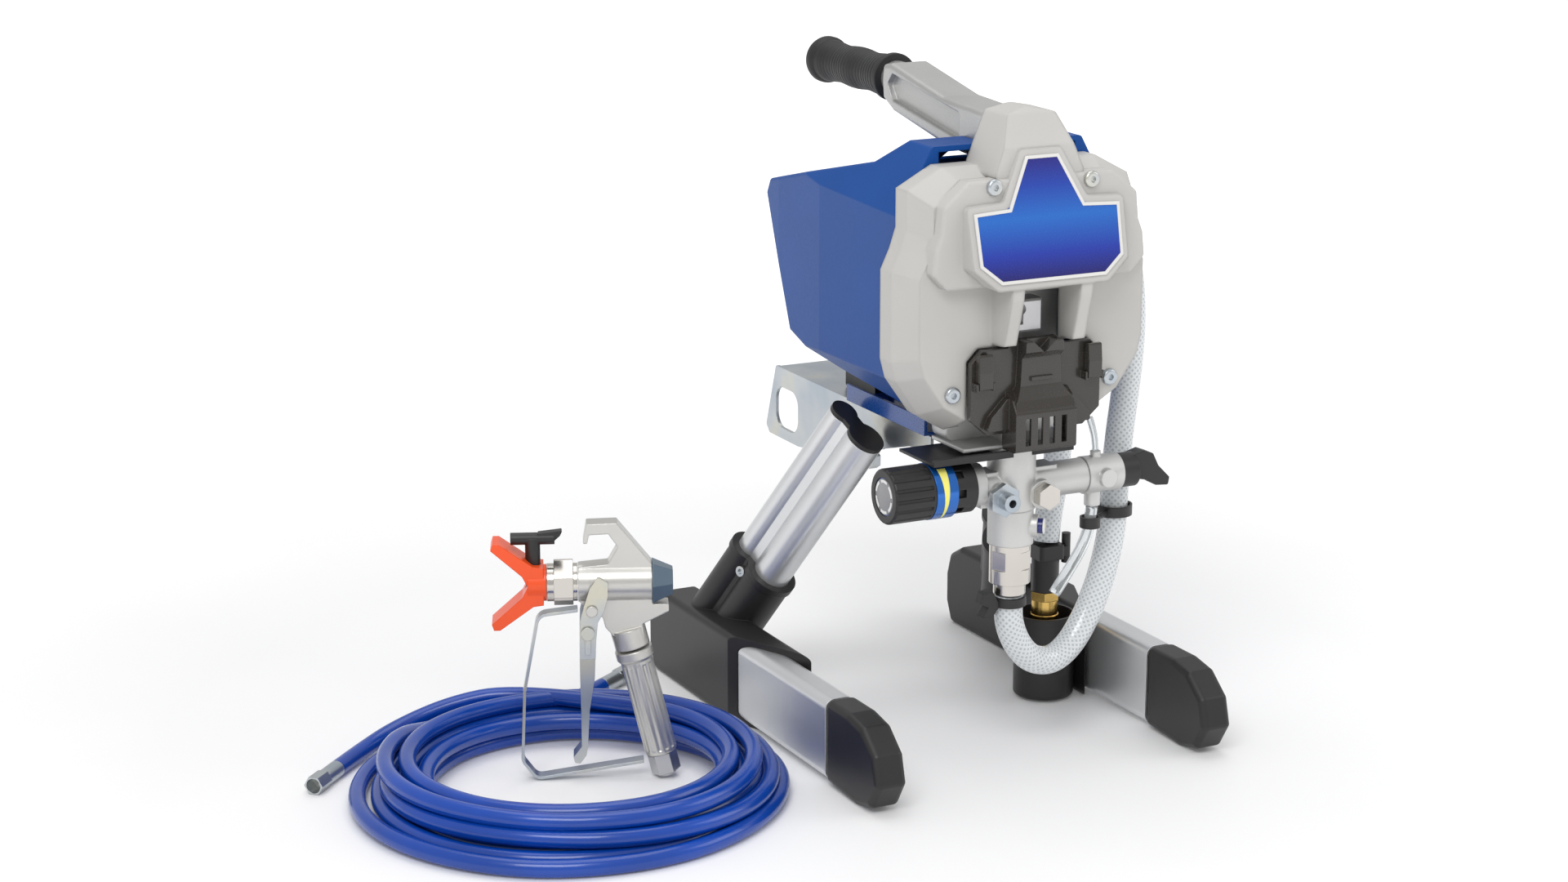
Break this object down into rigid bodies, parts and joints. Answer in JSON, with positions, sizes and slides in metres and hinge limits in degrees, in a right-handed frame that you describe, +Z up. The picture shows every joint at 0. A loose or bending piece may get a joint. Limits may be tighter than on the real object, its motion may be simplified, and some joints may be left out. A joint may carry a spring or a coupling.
{
  "type": "airless paint sprayer",
  "caption": "Stand-mounted airless paint sprayer with a carrying handle, suction hose, drip cup, spray gun and a coil of blue hose.",
  "frame": {"origin": "on the floor, at the middle of the box round the sprayer and its gun, without the hoses", "axes": "+Z up; -Y is the sprayer's front, where the outlet thread points; +X is the suction hose side, and the gun and coil lie on -X"},
  "size_m": [0.6571, 0.418, 0.51],
  "materials": {
    "cover": "warm grey, finely textured paint on a die casting",
    "blue_shell": "glossy blue moulding",
    "blue_sheet": "blue powder coat",
    "label": "printed plate with a plain blue gradient and a pale border",
    "black_plastic": "fine-grained black moulding",
    "grip_rubber": "ribbed black rubber",
    "cast_alloy": "rough cast alloy",
    "brushed_alloy": "brushed extrusion",
    "zinc": "zinc-plated steel with a faint yellow and blue cast",
    "steel": "machined steel",
    "nickel": "bright nickel plate",
    "brass": "machined brass",
    "knob_trim": "metallic blue with pale marks and a yellow wedge",
    "button_blue": "dark blue button with a white rim",
    "clear_hose": "clear PVC with white braid",
    "clear_tube": "clear PVC",
    "blue_hose": "glossy blue hose sheath",
    "gun_nickel": "satin plated casting",
    "gun_cap": "blue-grey coated cap",
    "orange_plastic": "orange-red moulding"
  },
  "bodies": {
    "machine": {"front_cover": "cover", "cover_screws": "zinc", "label_plate": "label", "drive_housing": "cast_alloy", "motor_can": "steel", "motor_shroud": "blue_shell", "shroud_tray": "blue_sheet", "handle_arm": "cast_alloy", "handle_grip": "grip_rubber", "control_box": "black_plastic", "power_inlet": "black_plastic", "stand_bracket": "zinc", "leg_right": "brushed_alloy", "leg_left": "brushed_alloy", "leg_plugs": "black_plastic", "knuckle_right": "black_plastic", "knuckle_left": "black_plastic", "stand_screws": "zinc", "foot_tube_right": "brushed_alloy", "foot_tube_left": "brushed_alloy", "foot_caps": "black_plastic", "manifold": "cast_alloy", "manifold_tray": "black_plastic", "knob_collar": "black_plastic", "outlet_fitting": "zinc", "manifold_plug": "nickel", "prime_valve": "cast_alloy", "inlet_housing": "cast_alloy", "inlet_fittings": "nickel", "suction_hose": "clear_hose", "drain_tube": "clear_tube", "drip_cup": "black_plastic", "strainer": "brass", "strainer_sleeve": "black_plastic", "hose_clips": "black_plastic", "hose_coil": "blue_hose", "hose_ends": "blue_hose", "hose_fittings": "zinc"},
    "door": {"pump_door": "black_plastic"},
    "door_latch_left": {"door_clip_left": "black_plastic"},
    "door_latch_right": {"door_clip_right": "black_plastic"},
    "piston": {"piston_and_yoke": "steel"},
    "crank": {"crankshaft": "steel"},
    "rotor": {"armature": "steel", "cooling_fan": "black_plastic"},
    "pressure_knob": {"knob_body": "black_plastic", "knob_trim": "knob_trim"},
    "valve_lever": {"prime_lever": "black_plastic"},
    "inlet_button": {"prime_button": "button_blue"},
    "rocker": {"power_switch": "black_plastic"},
    "gun": {"gun_body": "gun_nickel", "gun_rear_cap": "gun_cap", "trigger_guard": "zinc", "gun_handle": "gun_nickel"},
    "gun_trigger": {"trigger": "zinc"},
    "gun_lock": {"trigger_lock": "zinc"},
    "gun_nut": {"tip_nut": "nickel"},
    "gun_guard": {"tip_guard": "orange_plastic"},
    "gun_tip": {"spray_tip": "black_plastic"},
    "gun_hose_swivel": {"gun_swivel": "steel"}
  },
  "joints": [
    {"name": "door_pull", "type": "slide", "parent": "machine", "child": "door", "axis": [0, -1, 0], "range_m": [0, 0.08]},
    {"name": "latch_left_tilt", "type": "hinge", "parent": "door", "child": "door_latch_left", "pos_m": [0.06113, -0.15716, 0.2995], "axis": [1, 0, 0], "range_deg": [0, 55]},
    {"name": "latch_right_tilt", "type": "hinge", "parent": "door", "child": "door_latch_right", "pos_m": [0.15213, -0.15716, 0.2995], "axis": [1, 0, 0], "range_deg": [0, 55]},
    {"name": "piston_stroke", "type": "slide", "parent": "machine", "child": "piston", "axis": [0, 0, 1], "range_m": [-0.005, 0.005]},
    {"name": "crank_spin", "type": "hinge", "parent": "machine", "child": "crank", "pos_m": [0.09663, -0.09616, 0.34], "axis": [0, 1, 0], "continuous": true},
    {"name": "rotor_spin", "type": "hinge", "parent": "machine", "child": "rotor", "pos_m": [0.09663, -0.09616, 0.3825], "axis": [0, 1, 0], "continuous": true},
    {"name": "knob_turn", "type": "hinge", "parent": "machine", "child": "pressure_knob", "pos_m": [0.01663, -0.13616, 0.2215], "axis": [-1, 0, 0], "range_deg": [0, 270]},
    {"name": "valve_turn", "type": "hinge", "parent": "machine", "child": "valve_lever", "pos_m": [0.19163, -0.13616, 0.2176], "axis": [1, 0, 0], "range_deg": [0, 90]},
    {"name": "button_press", "type": "slide", "parent": "machine", "child": "inlet_button", "axis": [-0.8, 0.6, 0], "range_m": [0, 0.003], "stiffness_N_per_m": 600, "springref_m": -0.002},
    {"name": "rocker_tilt", "type": "hinge", "parent": "machine", "child": "rocker", "pos_m": [0.12463, 0.07584, 0.262], "axis": [1, 0, 0], "range_deg": [-8, 0]},
    {"name": "gun_lift", "type": "slide", "parent": "machine", "child": "gun", "axis": [0, 0, 1], "range_m": [0, 0.3]},
    {"name": "trigger_pull", "type": "hinge", "parent": "gun", "child": "gun_trigger", "pos_m": [-0.19088, -0.02371, 0.1348], "axis": [-0.3827, -0.9239, 0], "range_deg": [0, 18], "stiffness_Nm_per_rad": 2, "springref_deg": -8.59},
    {"name": "lock_turn", "type": "hinge", "parent": "gun_trigger", "child": "gun_lock", "pos_m": [-0.20072, -0.03911, 0.118], "axis": [-0.3827, -0.9239, 0], "range_deg": [0, 90]},
    {"name": "nut_turn", "type": "hinge", "parent": "gun", "child": "gun_nut", "pos_m": [-0.20584, -0.01751, 0.152], "axis": [-0.9239, 0.3827, 0], "continuous": true},
    {"name": "guard_turn", "type": "hinge", "parent": "gun", "child": "gun_guard", "pos_m": [-0.22894, -0.00794, 0.152], "axis": [-0.9239, 0.3827, 0], "range_deg": [-90, 90]},
    {"name": "tip_turn", "type": "hinge", "parent": "gun_guard", "child": "gun_tip", "pos_m": [-0.22986, -0.00756, 0.17], "axis": [0, 0, 1], "range_deg": [0, 180]},
    {"name": "swivel_turn", "type": "hinge", "parent": "gun", "child": "gun_hose_swivel", "pos_m": [-0.14487, -0.04276, 0.02], "axis": [0.2215, -0.0917, -0.9708], "continuous": true}
  ],
  "couplings": [
    {"joint": "rotor_spin", "follows": "crank_spin", "ratio": -3}
  ]
}
